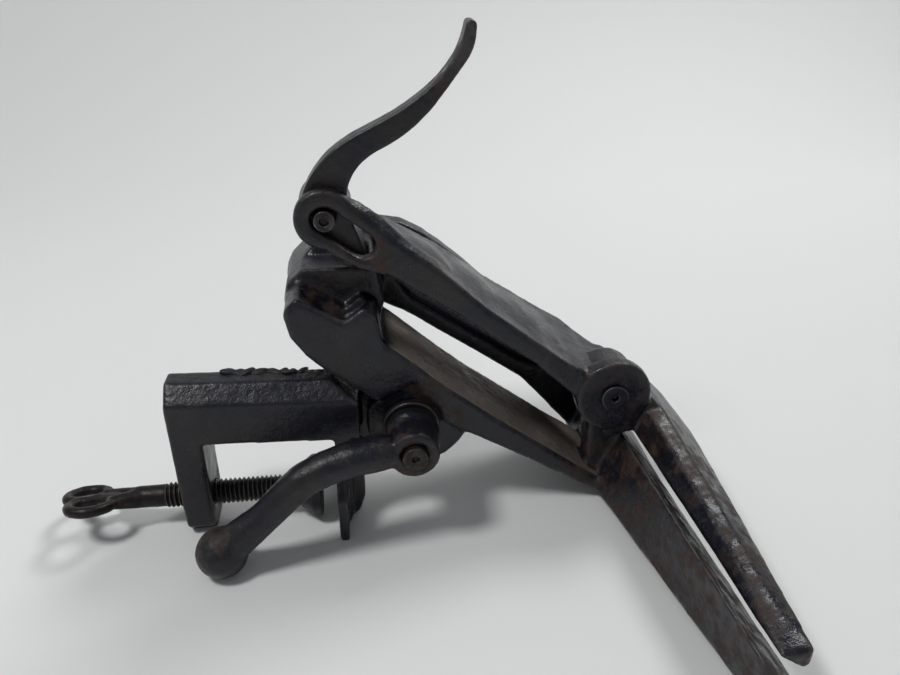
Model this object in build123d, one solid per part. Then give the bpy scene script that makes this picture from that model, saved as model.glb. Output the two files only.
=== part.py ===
"""Bench vise with cantilever jaws: a screw clamp, a tilting lower casting and a cam-closed upper jaw.

Drafting frame, in mm: X runs along the clamp screw towards the jaws, Z is up from the surface that
the vise stands on, and Y is depth, with 0 in the middle plane of the clamp and the jaws at negative
Y. The finished pieces are moved so that the origin is under the middle of the whole object.
"""

import os
from math import cos, radians, sin, tau

from build123d import *

# ---- driving dimensions ---------------------------------------------------------------------
MIDDLE_X, MIDDLE_Y = 4.5, -42.0  # middle of the whole object in the drafting frame
FIT = 0.08  # radial clearance of a pin that turns or slides in its hole
GAP = 0.35  # clearance between faces that move past each other

TILT = (18.0, 50.7)  # tilt axis (x, z), along Y
PIVOT = (111.5, 60.0)  # jaw pivot axis
CAM_PIN = (-14.0, 148.7)  # cam pin axis with the jaws open
FULCRUM = (-4.0, 131.4)  # where the cam lever's toe rolls in its seat

CLAMP_DEPTH = 25.0
BAR_BOTTOM, BAR_TOP = 49.5, 77.5  # at the leg; the bar drops a little towards the tongue
BAR_DROP = 2.7
BAR_LEFT, BAR_RIGHT = -88.0, -5.0
BAR_CHAMFER = 7.5
LEG_INNER = -74.0
SCREW_HEIGHT = 14.8
SCREW_RADIUS = 5.85
SCREW_FROM, SCREW_TO = -112.0, -38.4
BALL_X, BALL_RADIUS, NECK_RADIUS = -31.0, 4.6, 3.4  # the swivel at the screw's end
SHANK_RADIUS = 5.4
RING_RADIUS, RING_HOLE, HEAD_ROLL = 11.5, 6.0, -20
PAD_FACE = -25.0  # the pad's clamping face at rest
PAD_RADIUS, PAD_LENGTH, PAD_NECK_RADIUS = 14.4, 13.0, 7.6
JAW_PLATE = (-17.0, -10.0)  # the fixed clamping plate, from face to back
FOOT_WIDTH, FOOT_THICK, FOOT_TOP = 50.0, 4.5, 38.0  # the plate's wide lower part
TONGUE_FRONT, TONGUE_BACK = -0.5, 12.5
KNUCKLE_RADIUS = 19.0

BLOCK_FRONT, BLOCK_BACK = -9.5, 32.5  # the lower casting's block and front leg
EAR_FRONT, EAR_BACK, EAR_RADIUS = -7.0, TONGUE_FRONT - GAP, 20.0
CHEEK_FRONT, CHEEK_BACK, CHEEK_WEB = 42.5, 52.5, 6.0
LUG_FRONT, LUG_BACK, LUG_RADIUS = -3.6, 10.0, 10.0
LOWER_TIP = -136.5

BEAM_BACK, JAW_BACK = 41.0, 26.0  # the upper casting
BOSS_FRONT, BOSS_BACK = -11.5, 26.0
JAW_BOSS_RADIUS, HOOD_RADIUS, BACK_BOSS_RADIUS = 17.5, 14.3, 8.5
FORK_ROOM = 1.2  # between the fork's hollow and the lug's rim
EAR_PLATE_BACK = -2.5
UPPER_EAR_RADIUS = 12.3
SLOT_ROOM = 1.0  # round the pin in the cast slot
SLOT_TRAVEL, SLOT_SLOPE = 18.5, -37.7  # length in mm and slope in degrees of the pin's path
UPPER_TIP = -132.5

BOLT_RADIUS, BOLT_HEAD, BOLT_HEAD_THICK = 5.5, 19.0, 5.0
WASHER_RADIUS, WASHER_THICK = 13.0, 3.6
HUB_RADIUS, HUB_COLLAR, HUB_COLLAR_BACK, HUB_FRONT = 11.0, 12.2, -17.5, -33.5
LOCK_BALL_RADIUS = 11.2
PIVOT_PIN_RADIUS, PIVOT_HEAD_RADIUS = 5.0, 6.4
CAM_PIN_RADIUS = 4.2
LEVER_FRONT, LEVER_BACK, TOE_BACK = -2.2, 7.3, 20.5
LEVER_HUB_RADIUS, TOE_RADIUS = 11.0, 5.5
SEAT_CLEARANCE = 2.7  # room under the toe, which dips a little in mid-swing


# ---- helpers ------------------------------------------------------------------------------
def slab(outline, near, far):
    """A plate with a closed (x, z) outline, from depth near to depth far."""
    face = outline if isinstance(outline, Sketch) else make_face(Polyline(*outline, close=True))
    return Pos(0, far, 0) * extrude(Plane.XZ * face, far - near)


def section(outline, depth):
    """A closed (x, z) outline as a face at one depth, for a loft."""
    return Pos(0, depth, 0) * (Plane.XZ * make_face(Polyline(*outline, close=True)))


def pin(axis, radius, near, far):
    """A cylinder along Y, round an (x, z) axis."""
    x, z = axis
    return Pos(x, (near + far) / 2, z) * Rot(X=90) * Cylinder(radius, far - near)


def barrel(radius, left, right, z=SCREW_HEIGHT):
    """A cylinder along the clamp screw's axis."""
    return Pos((left + right) / 2, 0, z) * Rot(Y=90) * Cylinder(radius, right - left)


def prism(outline, low=-60, high=300):
    """An upright prism with a closed (x, y) outline, for trimming a slab to its plan."""
    return Pos(0, 0, low) * extrude(make_face(Polyline(*outline, close=True)), high - low)


def along(start, degrees, distance):
    """The (x, z) point at a distance from start in a direction."""
    return start[0] + distance * cos(radians(degrees)), start[1] + distance * sin(radians(degrees))


def limb(stations):
    """A round bar of changing thickness through (point, radius) stations."""
    first, radius = stations[0]
    bar = Pos(*first) * Sphere(radius)
    for (start, r_start), (end, r_end) in zip(stations, stations[1:]):
        run = Vector(*end) - Vector(*start)
        base = (Align.CENTER, Align.CENTER, Align.MIN)
        bar += Plane(start, z_dir=run) * Cone(r_start, r_end, run.length, align=base)
        bar += Pos(*end) * Sphere(r_end)
    return bar


def disc(centre, radius):
    return Pos(*centre) * Circle(radius)


# ---- the clamp ------------------------------------------------------------------------------
def clamp_frame():
    """Bar, leg with threaded boss, fixed clamping plate and the tongue of the tilt joint."""
    low, high = BAR_BOTTOM - BAR_DROP, BAR_TOP - BAR_DROP
    half = CLAMP_DEPTH / 2
    bar = slab([(BAR_LEFT, BAR_BOTTOM - 8), (BAR_LEFT, BAR_TOP), (-16, high), (BAR_RIGHT, 66),
                (BAR_RIGHT, low), (LEG_INNER, BAR_BOTTOM), (LEG_INNER, BAR_BOTTOM - 8)], -half, half)
    top_edges = [edge for edge in bar.edges() if edge.center().Z > high and edge.length > 50]
    bar = chamfer(top_edges, BAR_CHAMFER)
    leg = slab([(BAR_LEFT, BAR_BOTTOM), (-87, 0), (LEG_INNER, 0), (LEG_INNER, BAR_BOTTOM)], -half, half)
    leg = chamfer(leg.edges().filter_by(Axis.X).group_by(Axis.Z)[0], 5)
    plate_face, plate_back = JAW_PLATE
    plate = slab([(plate_face, low + 2), (plate_face, 3), (plate_face + 1.5, 0), (plate_back - 2, 0),
                  (plate_back, 5), (plate_back, low + 2)], -half, half)
    wide = FOOT_WIDTH / 2
    foot = make_face(Polyline((-wide, 0), (wide, 0), (wide, 22), (half, FOOT_TOP), (-half, FOOT_TOP),
                              (-wide, 22), close=True))
    plate += Pos(plate_face, 0, 0) * extrude(Plane.YZ * foot, FOOT_THICK)
    rib = slab([(plate_back - 1, 1), (plate_back + 3, 4), (plate_back + 5.5, 12), (plate_back + 5.5, 40),
                (plate_back - 1, 40)], -9, 4)
    tongue_outline = [(-20, low + 1), (-20, 68), (BAR_RIGHT, 66), (4, 59), TILT, (8.5, 33),
                      (6.5, 24), (plate_back - 1, 24)]
    tongue = slab(tongue_outline, TONGUE_FRONT, TONGUE_BACK)
    tongue += pin(TILT, KNUCKLE_RADIUS, TONGUE_FRONT, TONGUE_BACK)
    frame = bar + leg + plate + rib + tongue
    frame -= barrel(SCREW_RADIUS + FIT, BAR_LEFT - 1, LEG_INNER + 1)
    return frame - pin(TILT, BOLT_RADIUS, TONGUE_FRONT - 1, TONGUE_BACK + 1)


def thumb_screw():
    """Screw with a ball end for the pad, a plain shank and a head of two finger rings."""
    screw = barrel(SCREW_RADIUS, SCREW_FROM + 15, SCREW_TO)
    shank = barrel(SHANK_RADIUS, SCREW_FROM, SCREW_FROM + 15.5)
    ball = barrel(NECK_RADIUS, SCREW_TO - 1, BALL_X)
    ball += Pos(BALL_X, 0, SCREW_HEIGHT) * Rot(Y=90) * Sphere(BALL_RADIUS)
    rings = Sketch() + disc((-134.5, 7), RING_RADIUS) + disc((-129, -8), RING_RADIUS)
    rings += make_face(Polyline((-128, 12), (-110, 4.5), (-110, -4.5), (-123, -13), close=True))
    rings -= disc((-136, 8), RING_HOLE)
    rings -= disc((-130.5, -9), RING_HOLE)
    head = Pos(0, 0, SCREW_HEIGHT) * Rot(X=HEAD_ROLL) * Pos(0, 0, -2.6) * extrude(rings, 5.2)
    return screw + shank + head + ball


def swivel_pad():
    """Cone with a flat clamping face and a socket closed over the ball end of the screw."""
    left, socket, lip = PAD_FACE - PAD_LENGTH, BALL_RADIUS + 0.15, NECK_RADIUS + GAP
    floor, mouth = BALL_X + BALL_RADIUS + 0.2, BALL_X - BALL_RADIUS - 0.2
    profile = Polyline((left, lip), (left, PAD_NECK_RADIUS), (PAD_FACE - 4, PAD_RADIUS),
                       (PAD_FACE, PAD_RADIUS), (PAD_FACE, 0), (floor, 0), (floor, socket),
                       (mouth, socket), (mouth, lip), close=True)
    return Pos(0, 0, SCREW_HEIGHT) * revolve(Plane.XZ * make_face(profile), Axis.X)


# ---- the tilt joint -------------------------------------------------------------------------
def tilt_bolt():
    """Square-headed bolt through the tongue, its front end peened over the lock lever's hub."""
    shaft = pin(TILT, BOLT_RADIUS, HUB_FRONT - 2.2, TONGUE_BACK + 1)
    x, z = TILT
    square = Rot(Y=12) * Box(BOLT_HEAD, BOLT_HEAD_THICK, BOLT_HEAD)
    head = Pos(x, TONGUE_BACK + BOLT_HEAD_THICK / 2, z) * square
    bolt = shaft + head
    return bolt - pin(TILT, 1.6, HUB_FRONT - 3, HUB_FRONT - 0.8)


def tilt_washer():
    """Thick washer between the ear of the lower casting and the lock lever's hub."""
    back = EAR_FRONT - GAP
    washer = pin(TILT, WASHER_RADIUS, back - WASHER_THICK, back)
    return washer - pin(TILT, BOLT_RADIUS + FIT, back - 9, back + 1)


def lock_lever():
    """Ball-ended lever whose hub is threaded on the tilt bolt."""
    collar_back = EAR_FRONT - 2 * GAP - WASHER_THICK
    hub = pin(TILT, HUB_RADIUS, HUB_FRONT, HUB_COLLAR_BACK)
    hub += pin(TILT, HUB_COLLAR, HUB_COLLAR_BACK, collar_back)
    arm = limb([((16, -25.5, 50.2), 8.6), ((4, -28.3, 51), 8.2), ((-9, -30.6, 50.2), 7.9),
                ((-20, -32.5, 47.6), 7.7), ((-30, -34, 43.2), 7.4), ((-39, -35.6, 35.6), 7.1),
                ((-47, -36.8, 27.8), 6.9), ((-60, -37.7, 17), 7.9)])
    ball = Plane((-67, -38, LOCK_BALL_RADIUS), z_dir=(7, 0.3, 5.8)) * Sphere(LOCK_BALL_RADIUS)
    return hub + arm + ball - pin(TILT, BOLT_RADIUS + FIT, HUB_FRONT - 4, 0)


# ---- the lower casting ----------------------------------------------------------------------
def jaw_bracket():
    """Block with the toe's seat, tilt ear, front leg, back cheek, pivot lug and the lower jaw."""
    block = slab([(-34, 108), (-33, 111), (-28, 116), (-9, 104), (-1, 110), (5, 106), (7, 94), (34, 70),
                  (50, 57), (90, 27), (116, 8), (107, 6), (92, 15), (50, 41), (44, 44), (33, 52), (20, 72),
                  (3, 64), (-18, 81), (-26, 89), (-32, 98)], BLOCK_FRONT, BLOCK_BACK)
    back_block = slab([(-35, 106), (-33, 114), (-21, 126), (5, 127), (9, 104), (6, 92), (-6, 86), (-17, 84),
                       (-25, 89), (-33, 98)], 10, CHEEK_BACK)
    pocket = slab([(-26, 113), (-9, 100), (-1, 105), (3, 112), (3, 140), (-26, 140)], BLOCK_FRONT + 4, 4)
    pocket += slab([(-26, 121), (3, 121), (3, 140), (-26, 140)], 3.9, 26)
    seat = pin(FULCRUM, TOE_RADIUS + SEAT_CLEARANCE, BLOCK_FRONT + 4, 26)
    cheek = slab([(-36, 104), (-35, 110), (-30, 117), (-21, 123), (-6, 128.5), (7, 131.3), (19, 129.5),
                  (28.5, 124.3), (38, 117), (48, 108.2), (58, 99), (80, 78), (98, 62), (108, 48), (118, 36),
                  (134, 8), (124, 6), (107, 10), (79, 42), (18.6, 84), (6, 90), (-6, 86), (-17, 84), (-26, 90)],
                 CHEEK_FRONT, CHEEK_BACK)
    panel = slab([(14, 125), (24, 121), (36, 111.5), (54, 93), (76, 71), (90, 58), (92, 46), (78, 52), (22, 91),
                  (14, 104)], CHEEK_FRONT - 1, CHEEK_BACK - CHEEK_WEB)
    lug = pin(PIVOT, LUG_RADIUS, LUG_FRONT, LUG_BACK)
    lug += slab([(101.8, 60), (103, 38), (104, 14), (112, 10), (122, 20), (119.5, 35), (120.5, 46), (121, 60)],
                LUG_FRONT, LUG_BACK)
    jaw_root = [(120, 35), (142.5, 6.2), (140, 3.5), (109, 4), (107, 8)]
    jaw_tip = [(126.5, 31), (146, 10.5), (145.5, 8), (134.5, 0), (132.5, 1.6)]
    jaw = slab(jaw_root, BLOCK_FRONT, CHEEK_BACK)
    jaw += loft([section(jaw_root, BLOCK_FRONT), section(jaw_tip, LOWER_TIP)], ruled=True)
    ear = pin(TILT, EAR_RADIUS, EAR_FRONT, EAR_BACK)
    ear += slab([(3, 64), (21, 77), (34, 70), (50, 57), (45, 46), (41, 39), (34, 32), (26, 28),
                 (18, 30.7), TILT], EAR_FRONT, EAR_BACK)
    casting = block + back_block - pocket - pin(TILT, KNUCKLE_RADIUS + 1.6, EAR_BACK, BLOCK_BACK + 1)
    casting -= pin(TILT, WASHER_RADIUS + 1.2, BLOCK_FRONT - 1, EAR_FRONT)
    casting = casting + ear + (cheek - panel) + lug + jaw - seat
    casting -= pin(TILT, BOLT_RADIUS + FIT, BLOCK_FRONT - 1, 0)
    return casting - pin(PIVOT, PIVOT_PIN_RADIUS, LUG_FRONT - 1, LUG_BACK + 1)


def jaw_pin():
    """Pin that the upper jaw's fork turns on, driven through the lug and riveted at both ends."""
    front, back = BOSS_FRONT - GAP, BOSS_BACK + GAP
    shaft = pin(PIVOT, PIVOT_PIN_RADIUS, front - 1.2, back + 1.5)
    heads = pin(PIVOT, PIVOT_HEAD_RADIUS, front - 1.2, front) + pin(PIVOT, PIVOT_HEAD_RADIUS, back, back + 1.5)
    return shaft + heads - pin(PIVOT, 1.6, front - 2, front + 1.5)


# ---- the upper casting ----------------------------------------------------------------------
def moving_jaw():
    """Slotted ear, beam that widens to a fork over the lug, and the upper jaw in one casting."""
    underside = [(128, 40), (112, 36), (100, 46), (92, 62), (71, 81), (41, 103), (9.5, 124.5)]
    front = [(9.5, 143), (32, 125.5), (52, 107), (74, 89.5), (91, 76), (103, 71), (121, 66), (134, 54)]
    back = [(9.5, 142), (32, 125.5), (56.6, 104), (75, 91), (94.5, 78.5), (104, 72), (121, 63), (134, 52)]
    beam = loft([section(front + underside, BLOCK_FRONT), section(back + underside, BEAM_BACK)], ruled=True)
    beam &= prism([(0, -20), (0, 12), (10, 16.5), (28, 26.5), (40, 32.5), (54, 37.5), (73, 40.5), (98, BEAM_BACK),
                   (106, 34), (112, 28), (140, JAW_BACK), (140, -20)])
    below = [(40, 104), (16, 120.5), (9, 124.5), (0.4, 126.5), (-9, 132), (-20, 141)]
    neck = loft([section([(-4, 155.5), (2, 150), (9.5, 143), (16, 137), (32, 125.5)] + below, BLOCK_FRONT),
                 section([(-6.5, 158.5), (1, 154.8), (9.6, 148.4), (16.2, 141), (32, 126.5)] + below,
                         EAR_PLATE_BACK)], ruled=True)
    ear = pin(CAM_PIN, UPPER_EAR_RADIUS, BLOCK_FRONT, EAR_PLATE_BACK)
    boss = pin(PIVOT, JAW_BOSS_RADIUS, BOSS_FRONT, LUG_FRONT)
    boss += pin(PIVOT, BACK_BOSS_RADIUS, LUG_BACK, BOSS_BACK)
    boss += pin(PIVOT, HOOD_RADIUS, LUG_FRONT, LUG_BACK + 2)
    hollow = pin(PIVOT, LUG_RADIUS + FORK_ROOM, LUG_FRONT - GAP, LUG_BACK + GAP)
    hollow += slab([(100.3, 60), (100.3, 20), (118, 20), (122.5, 38), (124, 46), (122.7, 60)],
                   LUG_FRONT - GAP, LUG_BACK + GAP)
    jaw_root = [(133.6, 26.2), (129, 31.8), (124.2, 38.2), (128, 52), (136, 52), (155, 33), (150, 14),
                (147.5, 9.2)]
    tip_inner, tip_outer = (135.2, 27.8), (148, 30)
    jaw_tip = [(135.5, 27), tip_inner, (136, 28.2), (139, 28.8), (143, 29.4), tip_outer, (147.8, 21.5),
               (145.5, 20.2)]
    jaw = slab(jaw_root, BLOCK_FRONT, JAW_BACK)
    jaw &= prism([(110, -20), (156.6, -20), (155, BLOCK_FRONT), (149.8, JAW_BACK), (110, JAW_BACK)])
    jaw += loft([section(jaw_root, BLOCK_FRONT), section(jaw_tip, UPPER_TIP)], ruled=True)
    casting = beam + neck + ear + boss + jaw - hollow
    slot_end = along(CAM_PIN, SLOT_SLOPE, SLOT_TRAVEL)
    radius = CAM_PIN_RADIUS + SLOT_ROOM
    reach = (BLOCK_FRONT - 2, EAR_PLATE_BACK + 2)
    slot = pin(CAM_PIN, radius, *reach) + pin(slot_end, radius, *reach)
    sides = [along(p, SLOT_SLOPE + turn, radius) for p, turn in
             ((CAM_PIN, 90), (slot_end, 90), (slot_end, -90), (CAM_PIN, -90))]
    slot += slab(sides, *reach)
    casting -= pin(PIVOT, PIVOT_HEAD_RADIUS + 1, BOSS_BACK, BEAM_BACK + 1)
    return casting - slot - pin(PIVOT, PIVOT_PIN_RADIUS + FIT, BOSS_FRONT - 1, BOSS_BACK + 1)


# ---- the cam lever --------------------------------------------------------------------------
def cam_lever():
    """S-curved handle with a hub on the cam pin and a toe that rolls in the seat of the block."""
    left = Spline((-22.5, 156), (-19, 163.5), (-8.6, 175), (11.6, 186), (26, 195), (37, 206), (42.6, 220))
    tip = ThreePointArc((42.6, 220), (45.2, 221), (46.8, 217.5))
    right = Spline((46.8, 217.5), (45.6, 211), (39.8, 202), (29.5, 189), (14.7, 177), (2.8, 170), (-3.5, 161),
                   (-4.2, 153))
    handle = make_face(left + tip + right + Line((-4.2, 153), (-22.5, 156)))
    lever = slab(Sketch() + handle, LEVER_FRONT, LEVER_BACK)
    lever += pin(CAM_PIN, LEVER_HUB_RADIUS, LEVER_FRONT, TOE_BACK)
    aim = -60
    sides = [along(p, aim + turn, r) for p, turn, r in
             ((CAM_PIN, 90, LEVER_HUB_RADIUS - 1), (FULCRUM, 90, TOE_RADIUS),
              (FULCRUM, -90, TOE_RADIUS), (CAM_PIN, -90, LEVER_HUB_RADIUS - 1))]
    lever += slab(sides, LEVER_FRONT, TOE_BACK) + pin(FULCRUM, TOE_RADIUS, LEVER_FRONT, TOE_BACK)
    return lever - pin(CAM_PIN, CAM_PIN_RADIUS + FIT, LEVER_FRONT - 1, TOE_BACK + 1)


def cam_pin():
    """Pin through the slot and the lever, with a riveted end behind and a drilled end in front."""
    shaft = pin(CAM_PIN, CAM_PIN_RADIUS, BLOCK_FRONT - 0.8, TOE_BACK + GAP + 2)
    head = pin(CAM_PIN, 7.0, TOE_BACK + GAP, TOE_BACK + GAP + 2)
    return shaft + head - pin(CAM_PIN, 1.9, BLOCK_FRONT - 2, BLOCK_FRONT + 0.8)


PIECES = (clamp_frame, thumb_screw, swivel_pad, tilt_bolt, tilt_washer, lock_lever, jaw_bracket,
          jaw_pin, moving_jaw, cam_lever, cam_pin)

os.makedirs("parts", exist_ok=True)
for make in PIECES:
    piece = Pos(-MIDDLE_X, -MIDDLE_Y, 0) * make()
    export_step(piece, f"parts/{make.__name__}.step")
    box = piece.bounding_box()
    print(make.__name__, "solids", len(piece.solids()), "low", box.min, "high", box.max)
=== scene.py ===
"""Looks of the cantilever-jaw bench vise: worn castings, thread and finishes on the CAD frame."""

from math import cos, pi, radians, sin, tau

import bpy
import numpy as np
from mathutils import Euler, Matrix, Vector


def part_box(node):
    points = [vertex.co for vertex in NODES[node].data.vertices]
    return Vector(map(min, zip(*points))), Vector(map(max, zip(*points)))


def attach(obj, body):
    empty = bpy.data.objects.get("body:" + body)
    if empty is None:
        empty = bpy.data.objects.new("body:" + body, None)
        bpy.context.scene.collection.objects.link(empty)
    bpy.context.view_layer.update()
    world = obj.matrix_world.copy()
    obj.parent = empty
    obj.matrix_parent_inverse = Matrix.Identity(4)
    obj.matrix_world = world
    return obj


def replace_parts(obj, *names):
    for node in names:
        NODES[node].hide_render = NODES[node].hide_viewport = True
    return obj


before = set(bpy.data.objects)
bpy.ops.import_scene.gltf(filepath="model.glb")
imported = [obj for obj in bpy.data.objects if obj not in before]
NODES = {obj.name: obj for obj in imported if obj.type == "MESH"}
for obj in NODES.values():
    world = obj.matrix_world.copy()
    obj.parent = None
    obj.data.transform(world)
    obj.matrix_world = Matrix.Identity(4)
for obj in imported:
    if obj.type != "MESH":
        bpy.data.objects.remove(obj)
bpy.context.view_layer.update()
MM = 0.001

CAMERA_PLACE = (-0.0045, -0.2625, 0.248)
CAMERA_DOWN, CAMERA_TURN = 27.3, -6.9  # degrees below level, and about Z
CAMERA_LENS, CAMERA_SENSOR = 31.12, 36
SCREW_Y, SCREW_Z = 42.0, 14.8  # the clamp screw's axis, mm
RING_CENTRES = ((-139, 48.6, 12.4), (-133.5, 34.5, 17.5))
RING_NORMAL, RING_MAJOR, RING_MINOR = (0, 0.342, 0.94), 8.9, 2.6
HEAD_ROLL = radians(-20)
BALL_RADIUS, NECK_RADIUS = 4.6, 3.4
BAR_TOP, BAR_SLOPE, BAR_END = 77.4, 0.0375, -92.5  # the bar's top drops from its end towards the tongue
STRIP_NORMAL, STRIP_HEIGHT = (0.619, 0.0, 0.785), 0.0740  # the planed strip's plane, m


# ---- meshes -------------------------------------------------------------------------------
def new_piece(name, mesh, body):
    """A shown piece that rides on a CAD body."""
    piece = bpy.data.objects.new(name, mesh)
    bpy.context.scene.collection.objects.link(piece)
    for polygon in mesh.polygons:
        polygon.use_smooth = True
    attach(piece, body)
    return piece


def mesh_from(vertices, faces, name="mesh"):
    mesh = bpy.data.meshes.new(name)
    mesh.from_pydata([tuple(v) for v in vertices], [], [tuple(f) for f in faces])
    mesh.validate()
    return mesh


def finished(mesh, steps):
    """The mesh after a list of modifiers, each a type and its settings."""
    worker = bpy.data.objects.new("worker", mesh)
    bpy.context.scene.collection.objects.link(worker)
    for kind, settings in steps:
        modifier = worker.modifiers.new(kind.lower(), kind)
        for key, value in settings.items():
            setattr(modifier, key, value)
    bpy.context.view_layer.update()
    graph = bpy.context.evaluated_depsgraph_get()
    result = bpy.data.meshes.new_from_object(worker.evaluated_get(graph))
    bpy.data.objects.remove(worker)
    return result


def clouds(name, size, depth=2):
    texture = bpy.data.textures.new(name, "CLOUDS")
    texture.noise_scale = size
    texture.noise_depth = depth
    return texture


WAVY = clouds("wavy", 22 * MM)
LUMPY = clouds("lumpy", 5 * MM, 3)


def cast(mesh, voxel=0.8, smoothing=6, wavy=0.5, lumpy=0.22):
    """A mesh as a sand casting: edges and corners rounded, faces a little uneven. Sizes in mm."""
    rounding = [
        ("REMESH", {"mode": "VOXEL", "voxel_size": voxel * MM, "adaptivity": 0.0}),
        ("SMOOTH", {"factor": 0.5, "iterations": smoothing}),
        ("DISPLACE", {"texture": WAVY, "strength": wavy * MM, "mid_level": 0.5}),
        ("DISPLACE", {"texture": LUMPY, "strength": lumpy * MM, "mid_level": 0.5}),
    ]
    return finished(mesh, rounding)


def casting(node, body, slot, **shape):
    """A CAD node's casting, refined, in the node's place."""
    piece = new_piece(f"{node}_casting", cast(NODES[node].data.copy(), **shape), body)
    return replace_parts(piece, node)


# ---- camera, light and stage ------------------------------------------------------------------
def set_camera():
    """From just above the handle's tip, looking down and a little to the right."""
    camera = bpy.data.cameras.new("camera")
    camera.sensor_width = CAMERA_SENSOR
    camera.lens = CAMERA_LENS
    holder = bpy.data.objects.new("camera", camera)
    holder.location = CAMERA_PLACE
    holder.rotation_euler = (radians(90 - CAMERA_DOWN), 0, radians(CAMERA_TURN))
    bpy.context.scene.collection.objects.link(holder)
    bpy.context.scene.camera = holder


def softbox(name, place, aim, size, power, colour=(1, 1, 1)):
    light = bpy.data.lights.new(name, "AREA")
    light.shape = "DISK"
    light.size = size
    light.energy = power
    light.color = colour
    holder = bpy.data.objects.new(name, light)
    holder.location = place
    holder.rotation_euler = (Vector(aim) - Vector(place)).to_track_quat("-Z", "Y").to_euler()
    bpy.context.scene.collection.objects.link(holder)


def set_stage():
    """A pale sheet that lies under the vise and curves up behind it."""
    profile = [(-1.5, 0), (0.55, 0)]
    profile += [(0.55 + 0.35 * sin(a), 0.35 - 0.35 * cos(a)) for a in np.linspace(0.1, pi / 2, 16)]
    profile += [(0.9, 1.6)]
    vertices = [(x, y, z) for x in (-2.2, 2.2) for y, z in profile]
    count = len(profile)
    faces = [(i, i + count, i + count + 1, i + 1) for i in range(count - 1)]
    sheet = bpy.data.objects.new("stage_sheet", mesh_from(vertices, faces))
    bpy.context.scene.collection.objects.link(sheet)
    for polygon in sheet.data.polygons:
        polygon.use_smooth = True
    paper = bpy.data.materials.new("stage_paper")
    paper.use_nodes = True
    shader = paper.node_tree.nodes["Principled BSDF"]
    shader.inputs["Base Color"].default_value = (0.755, 0.76, 0.75, 1)
    shader.inputs["Roughness"].default_value = 0.7
    sheet.data.materials.append(paper)
    world = bpy.data.worlds.new("studio")
    world.use_nodes = True
    world.node_tree.nodes["Background"].inputs["Color"].default_value = (0.93, 0.95, 1.0, 1)
    world.node_tree.nodes["Background"].inputs["Strength"].default_value = 0.26
    bpy.context.scene.world = world
    softbox("key", (-0.6, -0.25, 1.2), (0, 0, 0.05), 0.28, 7.8)
    softbox("fill", (0.7, 0.7, 1.2), (0.15, 0.25, 0), 0.5, 8.2)
    bpy.context.scene.view_settings.view_transform = "Standard"


# ---- finishes -------------------------------------------------------------------------------
class Finish:
    """A procedural material: a small wrapper that makes nodes and links in one call."""

    def __init__(self, name):
        self.material = bpy.data.materials.new(name)
        self.material.use_nodes = True
        self.tree = self.material.node_tree
        self.shader = self.tree.nodes["Principled BSDF"]
        self.shader.inputs["Specular IOR Level"].default_value = 0.45
        self.place = self.add("ShaderNodeTexCoord").outputs["Object"]

    def add(self, kind, inputs=None, **settings):
        node = self.tree.nodes.new(kind)
        for key, value in settings.items():
            setattr(node, key, value)
        for key, value in (inputs or {}).items():
            if isinstance(value, bpy.types.NodeSocket):
                self.tree.links.new(value, node.inputs[key])
            else:
                node.inputs[key].default_value = value
        return node

    def noise(self, size_mm, detail=3.0, rough=0.55):
        inputs = {"Vector": self.place, "Scale": 1000 / size_mm, "Detail": detail, "Roughness": rough}
        node = self.add("ShaderNodeTexNoise", inputs)
        return node.outputs["Fac"]

    def ramp(self, value, low, high, to_low=0.0, to_high=1.0):
        """value from low..high to to_low..to_high, held at both ends."""
        inputs = {"Value": value, "From Min": low, "From Max": high, "To Min": to_low, "To Max": to_high}
        return self.add("ShaderNodeMapRange", inputs).outputs["Result"]

    def maths(self, operation, a, b=0.0):
        return self.add("ShaderNodeMath", {0: a, 1: b}, operation=operation).outputs[0]

    def mix(self, factor, a, b):
        """Colour a where factor is 0 and b where it is 1."""
        node = self.add("ShaderNodeMix", {0: factor, 6: a, 7: b}, data_type="RGBA")
        return node.outputs[2]

    def ball(self, centre_mm, radius_mm, soft_mm):
        """1 within a radius of a point, fading to 0."""
        centre = [c * MM for c in centre_mm]
        inputs = {0: self.place, 1: centre}
        far = self.add("ShaderNodeVectorMath", inputs, operation="DISTANCE").outputs["Value"]
        return self.ramp(far, radius_mm * MM, (radius_mm + soft_mm) * MM, 1.0, 0.0)

    def largest(self, masks):
        total = masks[0]
        for mask in masks[1:]:
            total = self.maths("MAXIMUM", total, mask)
        return total

    def edges(self, low, high):
        """1 on convex edges."""
        return self.ramp(self.add("ShaderNodeNewGeometry").outputs["Pointiness"], low, high)

    def surface(self, colour, roughness, metallic, heights):
        """Links the finish; heights are (value, mm) pairs that add up to the bump."""
        links = self.tree.links
        links.new(colour, self.shader.inputs["Base Color"])
        links.new(roughness, self.shader.inputs["Roughness"])
        links.new(metallic, self.shader.inputs["Metallic"])
        height = None
        for value, size in heights:
            part = self.maths("MULTIPLY", value, size * MM)
            height = part if height is None else self.maths("ADD", height, part)
        bump = self.add("ShaderNodeBump", {"Height": height, "Distance": 1.0, "Strength": 1.0})
        links.new(bump.outputs["Normal"], self.shader.inputs["Normal"])
        return self.material


BLACK = (0.0050, 0.0053, 0.0110, 1)
BROWN_BLACK = (0.0150, 0.0115, 0.0115, 1)
RUST_DARK = (0.022, 0.0125, 0.0085, 1)
RUST_LIGHT = (0.060, 0.032, 0.020, 1)
WORN = (0.085, 0.080, 0.078, 1)
PLANED = (0.260, 0.222, 0.192, 1)
PLANED_DARK = (0.135, 0.112, 0.092, 1)


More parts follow.
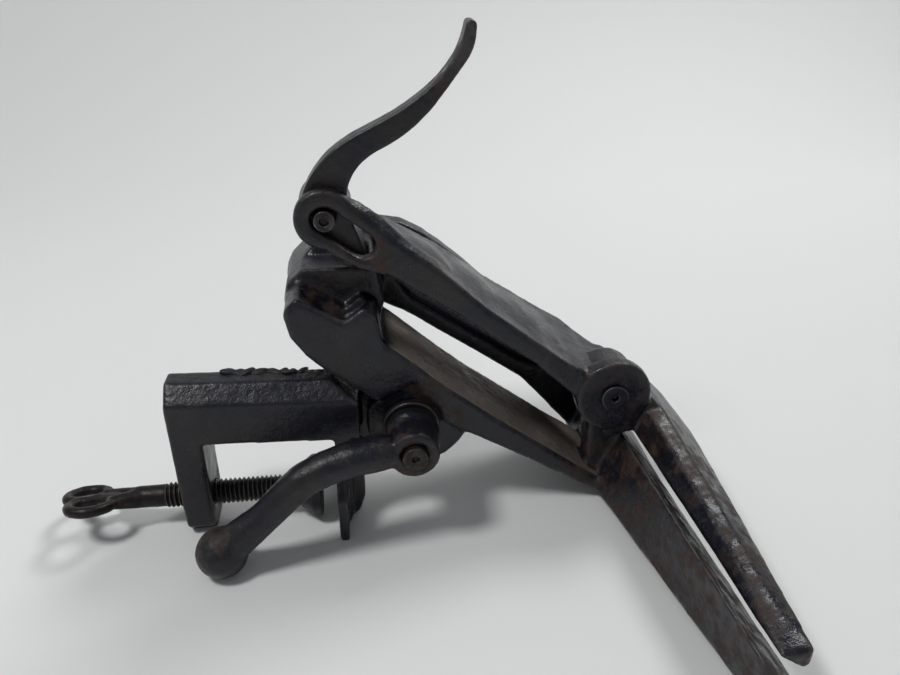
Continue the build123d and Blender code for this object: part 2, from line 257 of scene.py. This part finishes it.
def iron(name, rusty=(), worn=(), brown=0.5, rust=0.0, wear=0.8, rough=0.40, planed=None):
    """Old black japan on cast iron: blotchy, chipped on edges, rusting where it is rubbed or held.

    rusty and worn are (centre, radius, fade) regions in mm; planed is a function that returns the
    mask of a machined strip.
    """
    f = Finish(name)
    blotch, patches, grit, fine = f.noise(38, 4), f.noise(8, 5, 0.62), f.noise(2.2, 4, 0.6), f.noise(0.7, 2)
    colour = f.mix(f.ramp(blotch, 0.62 - 0.3 * brown, 0.8 - 0.3 * brown), BLACK, BROWN_BLACK)
    region = f.largest([f.ball(*r) for r in rusty]) if rusty else f.maths("ADD", 0.0, 0.0)
    level = f.maths("ADD", f.maths("MULTIPLY", region, 0.20), f.maths("ADD", patches, rust))
    rust_mask = f.ramp(level, 0.64, 0.80)
    speckled = f.mix(f.ramp(grit, 0.35, 0.68), RUST_DARK, RUST_LIGHT)
    colour = f.mix(f.maths("MULTIPLY", rust_mask, 0.75), colour, speckled)
    rubbed = f.largest([f.ball(*w) for w in worn]) if worn else f.maths("ADD", 0.0, 0.0)
    rough_patches = f.maths("ADD", patches, f.maths("MULTIPLY", grit, 0.3))
    chipped = f.maths("MULTIPLY", f.edges(0.515, 0.56), f.ramp(rough_patches, 0.52, 0.72, 0.12, 1.0))
    chipped = f.maths("MULTIPLY", chipped, wear)
    bare = f.maths("MAXIMUM", chipped, f.maths("MULTIPLY", rubbed, f.ramp(grit, 0.3, 0.6, 0.45, 1.0)))
    colour = f.mix(bare, colour, WORN)
    flecks = f.ramp(fine, 0.64, 0.72, 0.0, 0.45)
    colour = f.mix(flecks, colour, (0.05, 0.047, 0.045, 1))
    roughness = f.ramp(patches, 0.3, 0.7, rough - 0.13, rough + 0.07)
    roughness = f.maths("ADD", roughness, f.maths("MULTIPLY", rust_mask, 0.32))
    metallic = f.maths("MULTIPLY", bare, 0.7)
    if planed:
        strip = planed(f)
        along_strip = f.ramp(f.add("ShaderNodeSeparateXYZ", {0: f.place}).outputs["X"], 0.01, 0.1)
        darkening = f.maths("MULTIPLY", along_strip, f.ramp(patches, 0.3, 0.6, 0.55, 1.0))
        bare_metal = f.mix(darkening, PLANED, PLANED_DARK)
        bare_metal = f.mix(f.ramp(grit, 0.5, 0.8, 0.0, 0.5), bare_metal, RUST_LIGHT)
        colour = f.mix(strip, colour, bare_metal)
        metallic = f.maths("MAXIMUM", metallic, f.maths("MULTIPLY", strip, 0.2))
    return f.surface(colour, roughness, metallic,
                     [(patches, 0.35), (grit, 0.26), (fine, 0.07), (rust_mask, 0.07)])


def steel(name, colour=(0.05, 0.045, 0.042, 1), bright=(0.16, 0.15, 0.14, 1), rust=0.0, rough=0.42):
    """Oxidised turned steel, brighter on its edges and rusty in noise-driven patches."""
    f = Finish(name)
    patches, grit = f.noise(5, 4, 0.6), f.noise(1.2, 3)
    tone = f.mix(f.ramp(patches, 0.35, 0.65), colour, BROWN_BLACK)
    rust_mask = f.ramp(f.maths("ADD", patches, rust), 0.6, 0.75)
    tone = f.mix(f.maths("MULTIPLY", rust_mask, 0.8), tone, f.mix(grit, RUST_DARK, RUST_LIGHT))
    shine = f.maths("MULTIPLY", f.edges(0.52, 0.6), f.ramp(grit, 0.3, 0.6, 0.4, 1.0))
    tone = f.mix(shine, tone, bright)
    roughness = f.ramp(patches, 0.3, 0.7, rough - 0.08, rough + 0.14)
    metallic = f.ramp(rust_mask, 0.0, 1.0, 0.75, 0.1)
    return f.surface(tone, roughness, metallic, [(patches, 0.08), (grit, 0.08)])


def planed_strip(f):
    """Mask of the front leg's machined top: one plane, between two edges in depth and length."""
    height = f.add("ShaderNodeVectorMath", {0: f.place, 1: STRIP_NORMAL},
                   operation="DOT_PRODUCT").outputs["Value"]
    away = f.maths("ABSOLUTE", f.maths("SUBTRACT", height, STRIP_HEIGHT))
    near = f.ramp(away, 0.0024, 0.0034, 1.0, 0.0)
    normal = f.add("ShaderNodeTexCoord").outputs["Normal"]
    facing = f.add("ShaderNodeVectorMath", {0: normal, 1: STRIP_NORMAL},
                   operation="DOT_PRODUCT").outputs["Value"]
    level = f.maths("MULTIPLY", near, f.ramp(facing, 0.86, 0.95))
    split = f.add("ShaderNodeSeparateXYZ", {0: f.place}).outputs
    wobble = f.maths("MULTIPLY", f.noise(4, 3), 0.002)
    depth = f.maths("ADD", split["Y"], wobble)
    inside = f.maths("MULTIPLY", f.ramp(depth, 0.0332, 0.0342), f.ramp(depth, 0.0745, 0.0755, 1.0, 0.0))
    length = f.maths("MULTIPLY", f.ramp(split["X"], 0.004, 0.008), f.ramp(split["X"], 0.112, 0.124, 1.0, 0.0))
    return f.maths("MULTIPLY", level, f.maths("MULTIPLY", inside, length))


def coat(piece, material):
    piece.data.materials.clear()
    piece.data.materials.append(material)
    return piece


# ---- solids of revolution and loose shapes ---------------------------------------------------
def join_parts(parts):
    """(vertices, faces) pairs as one mesh."""
    vertices, faces = [], []
    for points, polygons in parts:
        start = len(vertices)
        vertices += [tuple(p) for p in points]
        faces += [tuple(i + start for i in polygon) for polygon in polygons]
    return mesh_from(vertices, faces)


def torus(centre, normal, major, minor, around=48, section=16):
    axis = Vector(normal).normalized()
    side = axis.orthogonal().normalized()
    up = axis.cross(side)
    points, faces = [], []
    for i in range(around):
        a = tau * i / around
        out = side * cos(a) + up * sin(a)
        for j in range(section):
            b = tau * j / section
            points.append((Vector(centre) + out * (major + minor * cos(b)) + axis * (minor * sin(b))) * MM)
            right, above = (i + 1) % around, (j + 1) % section
            faces.append((i * section + j, right * section + j, right * section + above, i * section + above))
    return points, faces


def blob(centre, radii, turn=None):
    """An ellipsoid, in mm."""
    rows, columns = 12, 24
    points, faces = [], []
    for i in range(rows + 1):
        a = pi * i / rows
        for j in range(columns):
            b = tau * j / columns
            p = Vector((radii[0] * sin(a) * cos(b), radii[1] * sin(a) * sin(b), radii[2] * cos(a)))
            if turn:
                p.rotate(turn)
            points.append((Vector(centre) + p) * MM)
    for i in range(rows):
        for j in range(columns):
            k = (j + 1) % columns
            faces.append((i * columns + j, (i + 1) * columns + j, (i + 1) * columns + k, i * columns + k))
    return points, faces


def swell(mesh, lumps):
    """Vertices pushed out along their normals near each lump: (centre, radius, height) in mm."""
    count = len(mesh.vertices)
    places, normals = np.empty(count * 3), np.empty(count * 3)
    mesh.vertices.foreach_get("co", places)
    mesh.vertex_normals.foreach_get("vector", normals)
    places, normals = places.reshape(-1, 3), normals.reshape(-1, 3)
    moved = places.copy()
    for centre, radius, height in lumps:
        far = np.linalg.norm(places - np.array(centre) * MM, axis=1) / (radius * MM)
        fall = np.clip(1 - far ** 2, 0, 1) ** 2
        moved += normals * (fall * height * MM)[:, None]
    mesh.vertices.foreach_set("co", moved.ravel())
    mesh.update()
    return mesh


# ---- the clamp ------------------------------------------------------------------------------
def thread_mesh(left, right, axis_y, axis_z, crest=5.85, root=4.75, pitch=2.1, around=48, steps=9):
    """A rolled V thread along X, in mm."""
    rows = int((right - left) / pitch * steps)
    points, faces = [], []
    for i in range(rows + 1):
        x = left + (right - left) * i / rows
        for j in range(around):
            a = tau * j / around
            phase = ((x / pitch) - j / around) % 1.0
            rise = 1 - abs(2 * phase - 1)
            fade = min(1.0, (x - left) / 2.0, (right - x) / 1.5)
            radius = root + (crest - root) * min(1.0, max(0.0, 1.35 * rise - 0.15)) * (0.35 + 0.65 * fade)
            points.append((x * MM, (axis_y + radius * cos(a)) * MM, (axis_z + radius * sin(a)) * MM))
    for i in range(rows):
        for j in range(around):
            k = (j + 1) % around
            faces.append((i * around + j, i * around + k, (i + 1) * around + k, (i + 1) * around + j))
    faces.append(tuple(range(around)))
    faces.append(tuple(reversed(range(rows * around, (rows + 1) * around))))
    return points, faces


def rod(start, end, r_start, r_end, around=24):
    """A round bar between two points, in mm."""
    a, b = Vector(start), Vector(end)
    run = (b - a).normalized()
    side = run.orthogonal().normalized()
    up = run.cross(side)
    points, faces = [], []
    for centre, radius in ((a, r_start), (b, r_end)):
        for j in range(around):
            turn = tau * j / around
            points.append((centre + side * (radius * cos(turn)) + up * (radius * sin(turn))) * MM)
    for j in range(around):
        k = (j + 1) % around
        faces.append((j, k, around + k, around + j))
    faces.append(tuple(reversed(range(around))))
    faces.append(tuple(range(around, 2 * around)))
    return points, faces


def clamp_pieces():
    iron_black = iron("clamp_japan", brown=0.35, wear=0.9, rough=0.36,
                      rusty=[((-95, 42, 20), 8, 14), ((-28, 46, 5), 8, 12)])
    frame_piece = casting("clamp_frame", "clamp", "clamp_iron", voxel=0.9, smoothing=11)
    coat(frame_piece, iron_black)
    coat(crust(), iron("bar_scale", brown=0.9, rust=0.02, wear=0.4, rough=0.62))
    turned = steel("turned_steel", rust=0.04)
    coat(casting("tilt_bolt", "clamp", "pin_steel", voxel=0.45, smoothing=4, wavy=0.2, lumpy=0.15), turned)
    coat(casting("tilt_washer", "clamp", "pin_steel", voxel=0.5, smoothing=3, wavy=0.2, lumpy=0.15), turned)
    coat(casting("swivel_pad", "pad", "clamp_iron", voxel=0.5, smoothing=3, wavy=0.3, lumpy=0.2),
         iron("pad_iron", brown=0.6, rust=0.03, wear=0.8, rough=0.5))
    coat(clamp_screw(),
         steel("screw_steel", colour=(0.03, 0.027, 0.026, 1), bright=(0.2, 0.19, 0.18, 1), rust=0.03))


def crust():
    """Ragged flake of scale along the back edge of the bar's top, thinning towards the tongue."""
    left, right, back = -66.0, -12.0, 46.0
    parts, count = [], 40
    for i in range(count):
        share = i / (count - 1)
        size = 1.7 * (1 - 0.6 * share) * (0.8 + 0.25 * sin(i * 2.7) + 0.2 * cos(i * 1.3))
        x = left + (right - left) * share + 0.8 * sin(i * 4.1)
        top = BAR_TOP - BAR_SLOPE * (x - BAR_END)
        place = (x, back + 0.9 * sin(i * 1.9) - 1.0 * share, top + 0.3 * cos(i * 3.3))
        turn = Euler((0.35 * sin(i * 2.2), 0.15 * cos(i * 1.7), 0.7 * sin(i * 5.3)))
        parts.append(blob(place, (size * 2.4, size * 1.3, size * 0.75), turn))
    mesh = finished(join_parts(parts), [
        ("REMESH", {"mode": "VOXEL", "voxel_size": 0.5 * MM, "adaptivity": 0.0}),
        ("SMOOTH", {"factor": 0.5, "iterations": 2}),
        ("DISPLACE", {"texture": LUMPY, "strength": 0.8 * MM, "mid_level": 0.5}),
    ])
    return new_piece("bar_scale", mesh, "clamp")


def clamp_screw():
    """Threaded rod with a flattened neck and a head of two finger rings bent apart."""
    axis_y, axis_z = SCREW_Y, SCREW_Z
    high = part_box("thumb_screw")[1]
    ball_x = high[0] / MM - BALL_RADIUS
    thread = thread_mesh(-102, ball_x - 5.5, axis_y, axis_z)
    parts = [
        rod((-115, axis_y, axis_z), (-101, axis_y, axis_z), 5.0, 5.3),
        torus(RING_CENTRES[0], RING_NORMAL, RING_MAJOR, RING_MINOR),
        torus(RING_CENTRES[1], RING_NORMAL, RING_MAJOR, RING_MINOR),
        rod((-131, 47.5, 12.9), (-113, 42.6, 14.6), 3.0, 4.7),
        rod((-125.5, 36, 17), (-113, 41.2, 15), 3.0, 4.7),
        blob((-124.5, 42, 14.9), (9, 5.5, 2.9), Euler((HEAD_ROLL, 0, 0))),
    ]
    head = finished(join_parts(parts), [
        ("REMESH", {"mode": "VOXEL", "voxel_size": 0.5 * MM, "adaptivity": 0.0}),
        ("SMOOTH", {"factor": 0.5, "iterations": 5}),
        ("DISPLACE", {"texture": LUMPY, "strength": 0.5 * MM, "mid_level": 0.5}),
    ])
    centre = (ball_x, axis_y, axis_z)
    nose = [rod((ball_x - 6.5, axis_y, axis_z), centre, NECK_RADIUS, NECK_RADIUS),
            blob(centre, (BALL_RADIUS,) * 3)]
    head_part = ([v.co for v in head.vertices], [tuple(p.vertices) for p in head.polygons])
    shape = join_parts([thread] + nose + [head_part])
    piece = new_piece("thumb_screw_turned", shape, "screw")
    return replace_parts(piece, "thumb_screw")


# ---- the lock lever ---------------------------------------------------------------------------
def lock_pieces():
    finish = iron("lock_japan", brown=0.7, rust=0.015, wear=0.7, rough=0.42,
                  rusty=[((-76, 4, 20), 7, 7), ((8, 12, 44), 14, 8), ((-64, 5, 10), 5, 8)])
    coat(casting("lock_lever", "lock", "lock_iron", voxel=0.75, smoothing=26, wavy=0.8, lumpy=0.35), finish)


# ---- the lower casting ------------------------------------------------------------------------
def bracket_pieces():
    finish = iron("bracket_japan", brown=0.35, wear=1.0, rough=0.36, planed=planed_strip, rusty=[
        ((22, 34, 62), 12, 12), ((0, 34, 40), 14, 10), ((-25, 50, 105), 12, 14), ((108, 20, 14), 26, 20),
        ((125, -40, 12), 24, 22), ((135, -85, 12), 22, 16), ((112, -10, 26), 18, 14)])
    mesh = cast(NODES["jaw_bracket"].data.copy(), voxel=0.95, smoothing=18, wavy=0.8)
    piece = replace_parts(new_piece("jaw_bracket_casting", mesh, "bracket"), "jaw_bracket")
    coat(piece, finish)
    coat(casting("jaw_pin", "bracket", "pin_steel", voxel=0.4, smoothing=5, wavy=0.2, lumpy=0.2),
         iron("pin_japan", brown=0.4, wear=1.0, rough=0.35))


# ---- the upper casting ------------------------------------------------------------------------
def jaw_pieces():
    finish = iron("jaw_japan", brown=0.4, wear=1.0, rough=0.34, rusty=[
        ((-4, 34, 134), 9, 12), ((95, 36, 82), 10, 12), ((118, 20, 50), 14, 14), ((142, -10, 30), 16, 22),
        ((140, -60, 26), 18, 24), ((138, -85, 28), 14, 14)])
    mesh = cast(NODES["moving_jaw"].data.copy(), voxel=0.9, smoothing=18, wavy=0.8)
    flange = [((16.5 + 4.2 * i, 31, 112 - 3.4 * i), 3.4, 0.9 + 0.5 * sin(i * 2.3)) for i in range(6)]
    crown = [((23.5, 50, 127), 15, 1.6), ((47.5, 56, 107), 22, 2.2), ((69.5, 57.5, 89.5), 22, 2.0)]
    mesh = swell(mesh, flange + crown)
    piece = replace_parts(new_piece("moving_jaw_casting", mesh, "upper_jaw"), "moving_jaw")
    coat(piece, finish)


# ---- the cam lever ----------------------------------------------------------------------------
def lever_pieces():
    finish = iron("lever_japan", brown=0.45, wear=1.0, rough=0.38, worn=[((38, 44, 216), 7, 16)],
                  rusty=[((33, 44, 200), 8, 14)])
    coat(casting("cam_lever", "lever", "lever_iron", voxel=0.6, smoothing=12, wavy=0.4, lumpy=0.2), finish)
    coat(casting("cam_pin", "slot_pin", "pin_steel", voxel=0.35, smoothing=3, wavy=0.15, lumpy=0.1),
         steel("worn_pin", colour=(0.06, 0.056, 0.054, 1), bright=(0.3, 0.29, 0.28, 1), rough=0.34))


set_camera()
set_stage()
clamp_pieces()
lock_pieces()
bracket_pieces()
jaw_pieces()
lever_pieces()
